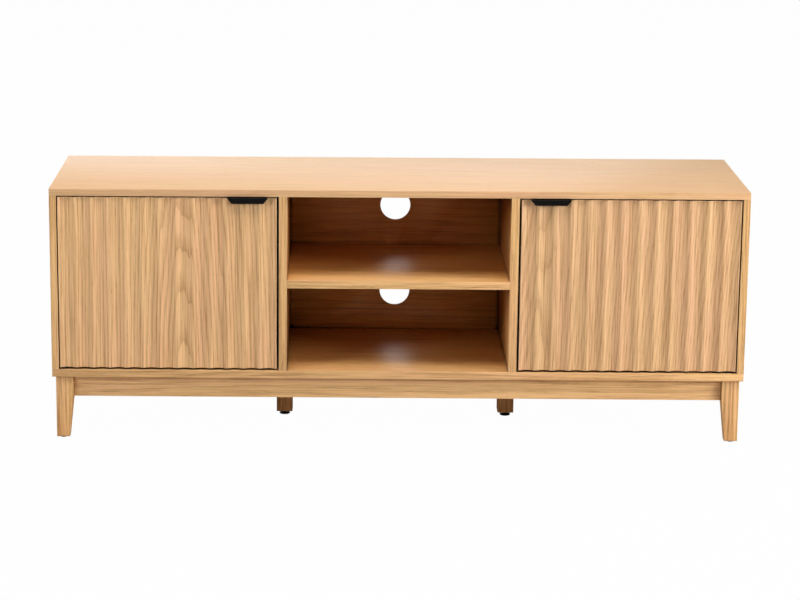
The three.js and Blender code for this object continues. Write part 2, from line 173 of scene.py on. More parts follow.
def makeOakFigure():
    # sawn wood: rings about a leaning heart line, cut by whatever surface carries them
    group, given, out = newGroup("oakFigure", "ShaderNodeTree", [
        ("Vector", "NodeSocketVector", None),  # X runs along the grain, in metres
        ("Offset", "NodeSocketVector", None),  # moves the fine grain, so that boards differ
        ("Heart", "NodeSocketVector", None),
        ("Lean", "NodeSocketVector", None),  # of the heart line, for each metre along the grain
        ("Light Tone", "NodeSocketColor", (0.78, 0.5, 0.26, 1)),
        ("Dark Tone", "NodeSocketColor", (0.5, 0.27, 0.11, 1)),
        ("Warm Tone", "NodeSocketColor", (0.8, 0.43, 0.25, 1)),  # drifts in over long patches
        ("Rings", "NodeSocketFloat", 115.0),  # per metre
        ("Wander", "NodeSocketFloat", 0.02),
        ("Ring Depth", "NodeSocketFloat", 0.22),
        ("Contrast", "NodeSocketFloat", 1.0),
        ("Base Roughness", "NodeSocketFloat", 0.4),
    ], [
        ("Color", "NodeSocketColor"),
        ("Roughness", "NodeSocketFloat"),
        ("Height", "NodeSocketFloat"),
    ])

    def vectorMath(operation, first, second):
        made = addNode(group, "ShaderNodeVectorMath", {0: first, 1: second}, operation=operation)
        return made.outputs[0]

    def centred(value, amount):
        return calc(group, "MULTIPLY", calc(group, "SUBTRACT", value, 0.5), amount)

    vector = given["Vector"]
    moved = vectorMath("ADD", vector, given["Offset"])
    along = splitVector(group, vector)["X"]
    leaning = addNode(group, "ShaderNodeVectorMath", {0: given["Lean"], "Scale": along},
                      operation="SCALE").outputs[0]
    centre = vectorMath("ADD", given["Heart"], leaning)
    away = splitVector(group, vectorMath("SUBTRACT", vector, centre))
    squares = calc(group, "ADD", calc(group, "MULTIPLY", away["Y"], away["Y"]),
                   calc(group, "MULTIPLY", away["Z"], away["Z"]))
    swell = centred(noise(group, moved, grainScales["swell"], 1.0), given["Wander"])
    ripple = centred(noise(group, moved, grainScales["ripple"]), grainWeights["ripple"])
    radius = calc(group, "ADD", calc(group, "SQRT", squares), calc(group, "ADD", swell, ripple))
    ring = calc(group, "FRACT", calc(group, "MULTIPLY", radius, given["Rings"]))
    early = remap(group, ring, *grainRanges["early"])  # porous band at the start of each ring
    late = remap(group, ring, *grainRanges["late"])  # dense band at its end

    fibre = noise(group, moved, grainScales["fibre"], 2.0, 0.6)
    streak = noise(group, moved, grainScales["streak"], 3.0, 0.65)
    band = noise(group, moved, grainScales["band"], 3.0, 0.6)
    cloud = noise(group, moved, grainScales["cloud"])
    speck = remap(group, noise(group, moved, grainScales["pore"], 1.0), *grainRanges["pore"])
    pore = calc(group, "MULTIPLY", speck, calc(group, "ADD", early, grainWeights["latePores"]))

    tone = calc(group, "ADD", centred(fibre, grainWeights["fibre"]),
                centred(streak, grainWeights["streak"]))
    tone = calc(group, "ADD", tone, centred(band, grainWeights["band"]))
    tone = calc(group, "ADD", tone, centred(cloud, grainWeights["cloud"]))
    for mark, depth in ((early, given["Ring Depth"]), (late, grainWeights["late"]),
                        (pore, grainWeights["pore"])):
        tone = calc(group, "SUBTRACT", tone, calc(group, "MULTIPLY", mark, depth))
    factor = calc(group, "ADD", calc(group, "MULTIPLY", tone, given["Contrast"]),
                  grainWeights["start"])
    clamped = addNode(group, "ShaderNodeClamp", {"Value": factor}).outputs[0]
    warmth = remap(group, noise(group, moved, grainScales["warmth"]), *grainRanges["warmth"],
                   0.0, grainWeights["warmth"])
    pale = blendColors(group, warmth, given["Light Tone"], given["Warm Tone"])
    color = blendColors(group, clamped, given["Dark Tone"], pale)

    rough = calc(group, "ADD", given["Base Roughness"],
                 calc(group, "MULTIPLY", pore, grainWeights["poreRoughness"]))
    rough = calc(group, "ADD", rough, centred(cloud, grainWeights["cloudRoughness"]))
    height = calc(group, "SUBTRACT", calc(group, "MULTIPLY", fibre, 0.5), pore)
    group.links.new(color, out["Color"])
    group.links.new(rough, out["Roughness"])
    group.links.new(height, out["Height"])
    return group


edgeLimits = {
    "turn": (0.995, 0.86),  # how closely the rounded and true normals agree, unworn and worn
    "patchScale": (38.0, 38.0, 38.0),
    "patches": (0.38, 0.64),
}


def makeWornHighlitEdges():
    # finds where a surface turns sharply, broken up so that handling shows unevenly; the mask carries
    # real edge wear and also a painted highlight along the edges
    group, given, out = newGroup("wornHighlitEdges", "ShaderNodeTree", [
        ("Vector", "NodeSocketVector", None),
        ("Reach", "NodeSocketFloat", 0.0015),
        ("Patchiness", "NodeSocketFloat", 0.5),
    ], [("Mask", "NodeSocketFloat")])
    rounded = addNode(group, "ShaderNodeBevel", {"Radius": given["Reach"]}, samples=4)
    normal = addNode(group, "ShaderNodeNewGeometry").outputs["Normal"]
    turn = addNode(group, "ShaderNodeVectorMath", {0: rounded.outputs[0], 1: normal},
                   operation="DOT_PRODUCT").outputs["Value"]
    edge = remap(group, turn, *edgeLimits["turn"])
    patches = remap(group, noise(group, given["Vector"], edgeLimits["patchScale"], 3.0),
                    *edgeLimits["patches"])
    lost = calc(group, "MULTIPLY", given["Patchiness"], calc(group, "SUBTRACT", 1.0, patches))
    kept = calc(group, "SUBTRACT", 1.0, lost)
    group.links.new(calc(group, "MULTIPLY", edge, kept), out["Mask"])
    return group


gapLimits = {  # how open a place is, from fully shaded to clear
    "shadeMasks": (0.3, 0.49),
    "deepShade": (0.08, 0.6),
}


def makeGapShade():
    # painted shade: the dark of the narrow gaps between boards and, more faintly, of places deep inside,
    # darkened by how enclosed each place is
    group, given, out = newGroup("gapShade", "ShaderNodeTree", [
        ("Reach", "NodeSocketFloat", 0.014),
        ("Deep Reach", "NodeSocketFloat", 0.35),
    ], [("Mask", "NodeSocketFloat"), ("Deep", "NodeSocketFloat")])
    near = addNode(group, "ShaderNodeAmbientOcclusion", {"Distance": given["Reach"]}, samples=4)
    far = addNode(group, "ShaderNodeAmbientOcclusion", {"Distance": given["Deep Reach"]}, samples=4)
    group.links.new(remap(group, near.outputs["AO"], *gapLimits["shadeMasks"], 1.0, 0.0), out["Mask"])
    group.links.new(remap(group, far.outputs["AO"], *gapLimits["deepShade"], 1.0, 0.0), out["Deep"])
    return group


fineScales = {"stipple": (1800.0, 1800.0, 1800.0), "smear": (60.0, 60.0, 60.0)}


def makeFineGrain():
    # the faint stipple of moulded plastic, powder coat and drawn metal
    group, given, out = newGroup("fineGrain", "ShaderNodeTree", [
        ("Vector", "NodeSocketVector", None),
        ("Grain", "NodeSocketVector", (1.0, 1.0, 1.0)),
        ("Base Roughness", "NodeSocketFloat", 0.5),
        ("Spread", "NodeSocketFloat", 0.1),
    ], [("Roughness", "NodeSocketFloat"), ("Height", "NodeSocketFloat"), ("Tone", "NodeSocketFloat")])
    stretched = addNode(group, "ShaderNodeVectorMath", {0: given["Vector"], 1: given["Grain"]},
                        operation="MULTIPLY").outputs[0]
    stipple = noise(group, stretched, fineScales["stipple"])
    smear = noise(group, stretched, fineScales["smear"], 3.0)
    spread = calc(group, "MULTIPLY", calc(group, "SUBTRACT", smear, 0.5), given["Spread"])
    group.links.new(calc(group, "ADD", given["Base Roughness"], spread), out["Roughness"])
    group.links.new(stipple, out["Height"])
    group.links.new(smear, out["Tone"])
    return group


oakFigure = makeOakFigure()
wornHighlitEdges = makeWornHighlitEdges()
gapShade = makeGapShade()
fineGrain = makeFineGrain()


# materials

grainTurn = {  # turns the wanted axis of the cabinet onto the pattern's X
    "x": (0.0, 0.0, 0.0),
    "y": (0.0, 0.0, -math.pi / 2),
    "z": (0.0, math.pi / 2, 0.0),
}


def startMaterial(name, specular=0.5):
    material = bpy.data.materials.new(name)
    material.use_nodes = True
    tree = material.node_tree
    shader = tree.nodes["Principled BSDF"]
    shader.inputs["Specular IOR Level"].default_value = specular
    return material, tree, shader


def opaque(color):
    return (*color, 1)


def wearAndHighlightEdges(tree, place, look):
    # the edge mask scaled by its strength: real wear, and also a painted highlight where the edge tone is
    # paler
    edge = addNode(tree, "ShaderNodeGroup", {"Vector": place, "Reach": look["edgeReach"]},
                   node_tree=wornHighlitEdges)
    return calc(tree, "MULTIPLY", edge.outputs["Mask"], look["edgeWearAndHighlight"])


def addRelief(tree, shader, height, strength, distance):
    bump = addNode(tree, "ShaderNodeBump", {
        "Strength": strength, "Distance": distance, "Height": height})
    tree.links.new(bump.outputs[0], shader.inputs["Normal"])


def oakMaterial(name, look):
    material, tree, shader = startMaterial(name)
    place = addNode(tree, "ShaderNodeTexCoord").outputs["Object"]
    grainwise = addNode(tree, "ShaderNodeMapping", {
        "Vector": place, "Rotation": grainTurn[look["grain"]]}).outputs[0]
    figure = addNode(tree, "ShaderNodeGroup", {
        "Vector": grainwise,
        "Offset": look["shift"],
        "Heart": look["heart"],
        "Lean": look["lean"],
        "Light Tone": opaque(look["light"]),
        "Dark Tone": opaque(look["dark"]),
        "Warm Tone": opaque(look["warm"]),
        "Rings": look["rings"],
        "Wander": look["wander"],
        "Ring Depth": look["ringDepth"],
        "Contrast": look["contrast"],
        "Base Roughness": look["roughness"],
    }, node_tree=oakFigure)
    wearAndHighlight = wearAndHighlightEdges(tree, place, look)
    # edges take a paler tone, partly real wear and partly a painted highlight
    color = blendColors(tree, wearAndHighlight, figure.outputs["Color"], opaque(look["edgeWearHighlightTone"]))
    # painted shade: the colour is multiplied by a darker tint deep inside the cabinet and turned
    # near-black in narrow gaps
    shadeMasks = addNode(tree, "ShaderNodeGroup", {
        "Reach": look["gapReach"], "Deep Reach": look["deepReach"]}, node_tree=gapShade)
    deepShade = addNode(tree, "ShaderNodeVectorMath", {0: color, 1: look["deepShadeTint"]},
                   operation="MULTIPLY").outputs[0]
    color = blendColors(tree, shadeMasks.outputs["Deep"], color, deepShade)
    color = blendColors(tree, shadeMasks.outputs["Mask"], color, opaque(look["gapShadeTone"]))
    tree.links.new(color, shader.inputs["Base Color"])
    rough = calc(tree, "ADD", figure.outputs["Roughness"],
                 calc(tree, "MULTIPLY", wearAndHighlight, look["wornRoughness"]))
    tree.links.new(rough, shader.inputs["Roughness"])
    addRelief(tree, shader, figure.outputs["Height"], look["relief"], look["reliefDepth"])
    return material


def hardMaterial(name, look):
    # metal and plastic
    material, tree, shader = startMaterial(name, look["specular"])
    place = addNode(tree, "ShaderNodeTexCoord").outputs["Object"]
    grain = addNode(tree, "ShaderNodeGroup", {
        "Vector": place,
        "Grain": look["grain"],
        "Base Roughness": look["roughness"],
        "Spread": look["spread"],
    }, node_tree=fineGrain)
    wearAndHighlight = wearAndHighlightEdges(tree, place, look)
    mottled = blendColors(tree, grain.outputs["Tone"], opaque(look["dark"]), opaque(look["light"]))
    # edges take a lighter tone, partly real wear and partly a painted highlight
    color = blendColors(tree, wearAndHighlight, mottled, opaque(look["edgeWearHighlightTone"]))
    tree.links.new(color, shader.inputs["Base Color"])
    tree.links.new(grain.outputs["Roughness"], shader.inputs["Roughness"])
    shader.inputs["Metallic"].default_value = look["metallic"]
    addRelief(tree, shader, grain.outputs["Height"], look["relief"], look["reliefDepth"])
    return material


oak = {  # shared by every oak surface unless a board's own values say otherwise
    "light": (0.89, 0.534, 0.224),
    "dark": (0.49, 0.240, 0.076),
    "warm": (0.89, 0.500, 0.240),
    "grain": "x",
    "shift": (0.0, 0.0, 0.0),
    "heart": (0.0, 0.9, 0.7),  # across and through the boards, far off for a straight grain
    "lean": (0.0, 0.01, 0.0),
    "rings": 115.0,
    "wander": 0.05,
    "ringDepth": 0.22,
    "contrast": 1.5,
    "roughness": 0.38,
    "relief": 0.25,
    "reliefDepth": 0.3 * mm,
    # a paler tone on the edges, partly real wear and partly a painted highlight
    "edgeReach": 1.4 * mm,
    "edgeWearAndHighlight": 0.5,
    "edgeWearHighlightTone": (0.94, 0.74, 0.48),
    "wornRoughness": 0.15,
    # painted shade: a near-black tone in narrow gaps, and a darker tint deep inside
    "gapReach": 14.0 * mm,
    "gapShadeTone": (0.012, 0.006, 0.003),
    "deepReach": 0.35,
    "deepShadeTint": (0.80, 0.62, 0.32),
}


# the top and the right door are a less orange veneer, and the left door a brighter one
soft = {"light": (0.84, 0.520, 0.250), "dark": (0.46, 0.232, 0.086), "warm": (0.84, 0.480, 0.262)}
bright = {"light": (0.91, 0.570, 0.272), "dark": (0.50, 0.255, 0.095), "warm": (0.91, 0.526, 0.284)}

woods = {  # what each one has of its own
    "oakTopMaterial": {**soft, "contrast": 0.7, "roughness": 0.42},
    "oakLongMaterial": {"shift": (1.7, 0.4, 2.1)},
    "oakFrontRailMaterial": {
        # the front rail takes almost none of the painted deep shade
        "shift": (1.7, 0.4, 2.1), "deepShadeTint": (0.98, 0.94, 0.86),
        "light": (0.92, 0.56, 0.245), "dark": (0.53, 0.267, 0.09), "warm": (0.92, 0.523, 0.26),
    },
    "oakUprightMaterial": {"grain": "z", "shift": (0.3, 2.2, 0.9)},
    "oakDividerMaterial": {
        # the dividers take a much darker painted shade that reaches further inside
        "grain": "z", "shift": (0.3, 2.2, 0.9), "deepReach": 0.8, "deepShadeTint": (0.42, 0.26, 0.08),
    },
    "oakLeftDoorMaterial": {
        **bright, "grain": "z", "shift": (5.1, 0.7, 1.3), "contrast": 1.3, "roughness": 0.42,
        "heart": (0.0, -0.193, 0.488), "lean": (0.0, -0.09, 0.01), "wander": 0.03, "ringDepth": 0.36,
    },
    "oakRightDoorMaterial": {
        **soft, "grain": "z", "shift": (9.4, 3.1, 2.6), "contrast": 1.5, "roughness": 0.42,
        "heart": (0.0, -0.209, -0.30), "lean": (0.0, -0.06, -0.1), "wander": 0.035,
    },
    # the back panels are a darker, redder oak: painted shade of the cabinet's inside
    "oakShadedBackMaterial": {
        "shift": (3.3, 1.9, 4.2), "roughness": 0.46,
        "light": (0.89, 0.47, 0.165), "dark": (0.54, 0.235, 0.065), "warm": (0.87, 0.43, 0.165),
    },
    "oakLegMaterial": {
        "grain": "z", "shift": (2.9, 5.2, 1.1), "contrast": 2.0, "roughness": 0.45, "relief": 0.4,
    },
    "oakSideRailMaterial": {"grain": "y", "shift": (4.4, 2.7, 0.2)},
    "beechDowelMaterial": {
        "light": (0.78, 0.56, 0.34), "dark": (0.6, 0.4, 0.22), "warm": (0.78, 0.54, 0.36),
        "contrast": 0.6, "roughness": 0.6,
    },
}

hard = {  # shared by the metals and plastics in the same way
    "grain": (1.0, 1.0, 1.0),
    "metallic": 0.0,
    "specular": 0.5,
    "edgeWearAndHighlight": 0.5,
    "reliefDepth": 0.1 * mm,
}

fittingFinishes = {
    "handleMaterial": {
        "dark": (0.004, 0.0036, 0.0034), "light": (0.008, 0.007, 0.0065), "specular": 0.09,
        "roughness": 0.46, "spread": 0.16, "relief": 0.25,
        "edgeReach": 0.7 * mm, "edgeWearHighlightTone": (0.030, 0.027, 0.025),
    },
    "steelMaterial": {
        "dark": (0.50, 0.51, 0.52), "light": (0.68, 0.69, 0.70), "grain": (1.0, 1.0, 0.06),
        "roughness": 0.28, "spread": 0.2, "metallic": 1.0, "relief": 0.2,
        "edgeReach": 0.4 * mm, "edgeWearHighlightTone": (0.8, 0.8, 0.8),
    },
    "blackPlasticMaterial": {
        "dark": (0.010, 0.010, 0.011), "light": (0.020, 0.020, 0.022),
        "roughness": 0.5, "spread": 0.2, "relief": 0.5,
        "edgeReach": 0.6 * mm, "edgeWearAndHighlight": 0.35, "edgeWearHighlightTone": (0.07, 0.07, 0.07),
    },
    "whitePlasticMaterial": {
        "dark": (0.62, 0.61, 0.57), "light": (0.74, 0.73, 0.69),
        "roughness": 0.45, "spread": 0.16, "relief": 0.3,
        "edgeReach": 0.6 * mm, "edgeWearAndHighlight": 0.25, "edgeWearHighlightTone": (0.82, 0.81, 0.78),
    },
}

looks = {name: oakMaterial(name, {**oak, **own}) for name, own in woods.items()}
looks.update({name: hardMaterial(name, {**hard, **own}) for name, own in fittingFinishes.items()})
print("materials:", len(looks))


# piece helpers

def newPiece(name, mesh, material):
    piece = bpy.data.objects.new(name, mesh)
    bpy.context.scene.collection.objects.link(piece)
    mesh.materials.clear()
    mesh.materials.append(material)
    return piece


def finishMesh(work, mesh):
    work.to_mesh(mesh)
    work.free()
    mesh.shade_smooth()
    return mesh


def middleOf(low, high):
    return (low.x + high.x) / 2, (low.y + high.y) / 2, (low.z + high.z) / 2


def easeEdges(piece, width, segments=2, angle=35.0):
    # rounds every edge that turns by more than the angle, in degrees
    bevel = piece.modifiers.new("easedEdges", "BEVEL")
    bevel.width = width
    bevel.segments = segments
    bevel.limit_method = "ANGLE"
    bevel.angle_limit = math.radians(angle)
    bevel.harden_normals = True
    bevel.use_clamp_overlap = True


def setUp(piece, node):
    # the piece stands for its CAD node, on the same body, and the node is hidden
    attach(piece, bodyOf[node])
    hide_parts(node)


weldReach = 1e-6  # points closer than this are one point
flatAngle = math.radians(0.5)  # faces that meet at less are one flat face


def easedCopy(node, material, width, segments=2):
    # the node's own shape, as whole flat faces with rounded edges
    work = bmesh.new()
    work.from_mesh(frame["nodes"][node].data)
    bmesh.ops.remove_doubles(work, verts=work.verts, dist=weldReach)
    bmesh.ops.dissolve_limit(work, angle_limit=flatAngle, verts=work.verts, edges=work.edges)
    mesh = finishMesh(work, bpy.data.meshes.new(node + "_eased"))
    piece = newPiece(node + "_eased", mesh, material)
    easeEdges(piece, width, segments)
    setUp(piece, node)


turnTo = {  # turns a profile's height onto the axis named
    "z": Matrix(),
    "-z": Matrix.Rotation(math.pi, 4, "X"),
    "x": Matrix.Rotation(math.pi / 2, 4, "Y"),
    "-x": Matrix.Rotation(-math.pi / 2, 4, "Y"),
}


def turned(name, profile, material, place, axis="z", segments=48, sharp=30.0):
    # profile: (radius, height) pairs, turned about the axis through place; edges stay sharp
    # where they turn by more than the last angle, in degrees
    work = bmesh.new()
    rings = []
    for radius, height in profile:
        if radius < weldReach:  # a pole
            rings.append([work.verts.new((0, 0, height))])
            continue
        rings.append([
            work.verts.new((radius * math.cos(turn), radius * math.sin(turn), height))
            for turn in (2 * math.pi * step / segments for step in range(segments))
        ])
    for lower, upper in zip(rings, rings[1:]):
        for step in range(segments):
            after = (step + 1) % segments
            corners = [lower[step % len(lower)], lower[after % len(lower)],
                       upper[after % len(upper)], upper[step % len(upper)]]
            work.faces.new(list(dict.fromkeys(corners)))
    if len(rings[0]) > 1:  # a ring profile closes on itself
        bmesh.ops.remove_doubles(work, verts=work.verts, dist=weldReach)
    bmesh.ops.recalc_face_normals(work, faces=work.faces)
    work.transform(Matrix.Translation(place) @ turnTo[axis])
    mesh = finishMesh(work, bpy.data.meshes.new(name))
    mesh.set_sharp_from_angle(angle=math.radians(sharp))
    return newPiece(name, mesh, material)


# boards, rails and legs

boards = {  # how far each kind's edges are eased
    "board": 0.6 * mm,
    "leg": 1.2 * mm,
    "back": 0.3 * mm,
    "dowel": 0.5 * mm,
}


def makeBoards():
    along = ["bottom_panel", "centre_shelf", "left_cupboard_shelf", "right_cupboard_shelf", "rear_rail"]
    legs = [f"{end}_{side}_leg" for end in ("front", "rear") for side, _ in sides]
    legs += [f"{side}_middle_leg" for side, _ in sides]
    easedCopy("top_panel", looks["oakTopMaterial"], boards["board"])
    for node in along:
        easedCopy(node, looks["oakLongMaterial"], boards["board"])
    easedCopy("front_rail", looks["oakFrontRailMaterial"], boards["board"])
    for side, _ in sides:
        easedCopy(f"{side}_side_panel", looks["oakUprightMaterial"], boards["board"])
        easedCopy(f"{side}_divider", looks["oakDividerMaterial"], boards["board"])
        easedCopy(f"{side}_rail", looks["oakSideRailMaterial"], boards["board"])
    for node in legs:
        easedCopy(node, looks["oakLegMaterial"], boards["leg"], 3)
    for bay in ("left", "centre", "right"):
        easedCopy(f"{bay}_back_panel", looks["oakShadedBackMaterial"], boards["back"], 1)
    for side, _ in sides:
        for number in (1, 2):
            easedCopy(f"{side}_shelf_dowel_{number}", looks["beechDowelMaterial"], boards["dowel"])


# fluted doors, by geometry nodes

flutes = {
    "pitch": 38.6 * mm,  # wanted; the nearest whole number fills the door
    "land": 6.0 * mm,  # between two coves, before it is softened into a ridge
    "depth": 5.0 * mm,
    "softness": 0.35 * mm,
    "edge": 1.6 * mm,
    "edgeAngle": 50.0,  # the ridges turn by less, so only the door's own edges are rounded
    "steps": 40,  # points across a flute
    "seam": 1e-5,  # how near two strips' edges are to be sewn into one
}


def makeFlutedTree():
    tree, given, out = newGroup("flutedPanel", "GeometryNodeTree", [
        ("Panel Width", "NodeSocketFloat", 0.5),
        ("Panel Height", "NodeSocketFloat", 0.4),
        ("Panel Thickness", "NodeSocketFloat", 0.018),
        ("Flute Count", "NodeSocketInt", 13),
        ("Flute Steps", "NodeSocketInt", 40),
        ("Land Width", "NodeSocketFloat", 0.006),
        ("Cove Depth", "NodeSocketFloat", 0.005),
        ("Ridge Softness", "NodeSocketFloat", 0.0003),
        ("Panel Material", "NodeSocketMaterial", None),
    ], [("Geometry", "NodeSocketGeometry")])
    # one flute: part of a circle sunk between two half lands
    pitch = calc(tree, "DIVIDE", given["Panel Width"], given["Flute Count"])
    halfChord = calc(tree, "MULTIPLY", calc(tree, "SUBTRACT", pitch, given["Land Width"]), 0.5)
    depth = given["Cove Depth"]
    squares = calc(tree, "ADD", calc(tree, "MULTIPLY", halfChord, halfChord),
                   calc(tree, "MULTIPLY", depth, depth))
    radius = calc(tree, "DIVIDE", squares, calc(tree, "MULTIPLY", depth, 2.0))
    strip = addNode(tree, "GeometryNodeMeshGrid", {
        "Size X": pitch, "Size Y": given["Panel Height"],
        "Vertices X": given["Flute Steps"], "Vertices Y": 2,
    })
    at = splitVector(tree, tree.nodes.new("GeometryNodeInputPosition").outputs[0])
    under = calc(tree, "SUBTRACT", calc(tree, "MULTIPLY", radius, radius),
                 calc(tree, "MULTIPLY", at["X"], at["X"]))
    arc = calc(tree, "SUBTRACT", calc(tree, "SQRT", under), calc(tree, "SUBTRACT", radius, depth))
    cove = addNode(tree, "ShaderNodeMath", {0: arc, 1: 0.0, 2: given["Ridge Softness"]},
                   operation="SMOOTH_MAX").outputs[0]
    shaped = addNode(tree, "GeometryNodeSetPosition", {
        "Geometry": strip.outputs["Mesh"],
        "Position": joinVector(tree, at["X"], cove, at["Y"]),
    })
    # a row of them across the panel, sewn together
    first = calc(tree, "MULTIPLY", calc(tree, "SUBTRACT", given["Panel Width"], pitch), -0.5)
    row = addNode(tree, "GeometryNodeMeshLine", {
        "Count": given["Flute Count"],
        "Start Location": joinVector(tree, first, 0.0, 0.0),
        "Offset": joinVector(tree, pitch, 0.0, 0.0),
    }, mode="OFFSET")
    repeated = addNode(tree, "GeometryNodeInstanceOnPoints", {
        "Points": row.outputs["Mesh"], "Instance": shaped.outputs["Geometry"]})
    real = addNode(tree, "GeometryNodeRealizeInstances", {"Geometry": repeated.outputs[0]})
    front = addNode(tree, "GeometryNodeMergeByDistance", {
        "Geometry": real.outputs[0], "Distance": flutes["seam"]})
    # then the flat back and the sides
    pulled = addNode(tree, "GeometryNodeExtrudeMesh", {
        "Mesh": front.outputs[0], "Offset Scale": 0.0, "Individual": False}, mode="FACES")
    place = splitVector(tree, tree.nodes.new("GeometryNodeInputPosition").outputs[0])
    flat = addNode(tree, "GeometryNodeSetPosition", {
        "Geometry": pulled.outputs["Mesh"], "Selection": pulled.outputs["Top"],
        "Position": joinVector(tree, place["X"], given["Panel Thickness"], place["Z"]),
    })
    joined = tree.nodes.new("GeometryNodeJoinGeometry")
    tree.links.new(front.outputs[0], joined.inputs[0])
    tree.links.new(flat.outputs[0], joined.inputs[0])
    closed = addNode(tree, "GeometryNodeMergeByDistance", {
        "Geometry": joined.outputs[0], "Distance": weldReach})
    solid = addNode(tree, "GeometryNodeRealizeInstances", {"Geometry": closed.outputs[0]})
    painted = addNode(tree, "GeometryNodeSetMaterial", {
        "Geometry": solid.outputs[0], "Material": given["Panel Material"]})
    tree.links.new(painted.outputs[0], out["Geometry"])
    return tree


def setInput(modifier, label, value):
    for item in modifier.node_group.interface.items_tree:
        if item.item_type == "SOCKET" and item.in_out == "INPUT" and item.name == label:
            modifier[item.identifier] = value


def grow(name, tree, values, startMesh=None):
    # runs a node tree once and keeps its result as a plain mesh
    seed = bpy.data.objects.new(name + "Seed", startMesh or bpy.data.meshes.new(name + "Seed"))
    bpy.context.scene.collection.objects.link(seed)
    modifier = seed.modifiers.new("nodes", "NODES")
    modifier.node_group = tree
    for label, value in values.items():
        setInput(modifier, label, value)
    seed.update_tag()
    bpy.context.view_layer.update()
    done = seed.evaluated_get(bpy.context.evaluated_depsgraph_get())
    mesh = bpy.data.meshes.new_from_object(done)
    mesh.name = name
    seed.modifiers.remove(modifier)
    bpy.data.objects.remove(seed)
    return mesh


def makeDoors():
    tree = makeFlutedTree()
    for side, _ in sides:
        node = f"{side}_door"
        veneer = looks["oak" + side.capitalize() + "DoorMaterial"]
        low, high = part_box(node)
        count = round((high.x - low.x) / flutes["pitch"])
        mesh = grow(f"{side}_fluted_door", tree, {
            "Panel Width": high.x - low.x,
            "Panel Height": high.z - low.z,
            "Panel Thickness": high.y - low.y,
            "Flute Count": count,
            "Flute Steps": flutes["steps"],
            "Land Width": flutes["land"],
            "Cove Depth": flutes["depth"],
            "Ridge Softness": flutes["softness"],
            "Panel Material": veneer,
        })
        work = bmesh.new()
        work.from_mesh(mesh)
        bmesh.ops.remove_doubles(work, verts=work.verts, dist=weldReach)
        bmesh.ops.recalc_face_normals(work, faces=work.faces)
        centreX, _, centreZ = middleOf(low, high)
        work.transform(Matrix.Translation((centreX, low.y, centreZ)))
        door = newPiece(f"{side}_fluted_door", finishMesh(work, mesh), veneer)
        easeEdges(door, flutes["edge"], 3, flutes["edgeAngle"])
        setUp(door, node)
    print("fluted doors:", count, "flutes each")


# handles: a strip folded over the door's top edge

handle = {
    "sheet": 1.2 * mm,
    "bendRadius": 1.4 * mm,  # outside of each bend
    "bendSteps": 6,
    "leg": 12.0 * mm,  # reaches down the door's back
    "foot": 3.6 * mm,  # height of the lip's inward slant
    "footLean": 2.2 * mm,
    "footTrim": 0.3 * mm,  # off both ends of the slant's inside
    "bottomShare": 71.5 / 92.0,  # width of the lip's foot, of the width at the top
    "edge": 0.25 * mm,
    "edgeAngle": 40.0,
}


def handleSection(low, high):
    # (y, z) outline, from the back leg's foot over the top to the lip's foot and back inside
    sheet, bend = handle["sheet"], handle["bendRadius"]
    back, top = high.y, high.z
    legFoot = top - sheet - handle["leg"]
    lipFront, lipFoot = low.y, low.z

    def corner(centreY, centreZ, radius, start, end):
        steps = handle["bendSteps"]
        return [(centreY + radius * math.cos(turn), centreZ + radius * math.sin(turn))
                for turn in (start + (end - start) * step / steps for step in range(steps + 1))]

    quarter = math.pi / 2
    inner = bend - sheet
    lean, slant = handle["footLean"], handle["foot"]
    outer = [(back, legFoot)]
    outer += corner(back - bend, top - bend, bend, 0, quarter)
    outer += corner(lipFront + bend, top - bend, bend, quarter, 2 * quarter)
    outer += [(lipFront, lipFoot + slant), (lipFront + lean, lipFoot)]
    inside = [(lipFront + lean + sheet, lipFoot + handle["footTrim"]),
              (lipFront + sheet, lipFoot + slant - handle["footTrim"])]
    inside += corner(lipFront + bend, top - bend, inner, 2 * quarter, quarter)
    inside += corner(back - bend, top - bend, inner, quarter, 0)
    inside += [(back - sheet, legFoot)]
    return outer + inside


def makeHandles():
    for side, _ in sides:
        node = f"{side}_door_handle"
        low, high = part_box(node)
        middle = (low.x + high.x) / 2
        halfTop = (high.x - low.x) / 2
        foldZ = high.z - handle["sheet"]  # the ends slope inwards below this
        slope = halfTop * (1 - handle["bottomShare"]) / (foldZ - low.z)
        section = handleSection(low, high)
        work = bmesh.new()
        ends = []
        for direction in (-1, 1):
            reach = [direction * (halfTop - slope * max(0, foldZ - z)) for _, z in section]
            ends.append([work.verts.new((middle + x, y, z)) for x, (y, z) in zip(reach, section)])
        total = len(section)
        for step in range(total):
            after = (step + 1) % total
            work.faces.new((ends[0][step], ends[0][after], ends[1][after], ends[1][step]))
        work.faces.new(ends[0])
        work.faces.new(ends[1])
        bmesh.ops.recalc_face_normals(work, faces=work.faces)
        mesh = finishMesh(work, bpy.data.meshes.new(f"{side}_edge_pull"))
        pull = newPiece(f"{side}_edge_pull", mesh, looks["handleMaterial"])
        easeEdges(pull, handle["edge"], 2, handle["edgeAngle"])
        setUp(pull, node)
    print("handles:", len(sides))


# turned fittings

chamfer = 0.4 * mm  # at the ends of pins, pegs and bushes
glideShape = ((0, 0), (0.86, 0), (0.96, 0.2), (1, 0.5), (1, 1), (0, 1))  # shares of radius and height


def makeGlides():
    for end in ("front", "rear"):
        for side, _ in sides:
            node = f"{end}_{side}_glide"
            low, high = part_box(node)
            radius, height = (high.x - low.x) / 2, high.z - low.z
            centreX, centreY, _ = middleOf(low, high)
            profile = [(radius * out, height * up) for out, up in glideShape]
            glide = turned(f"{end}_{side}_round_glide", profile, looks["blackPlasticMaterial"],
                           (centreX, centreY, low.z))
            setUp(glide, node)
    print("glides:", 2 * len(sides))


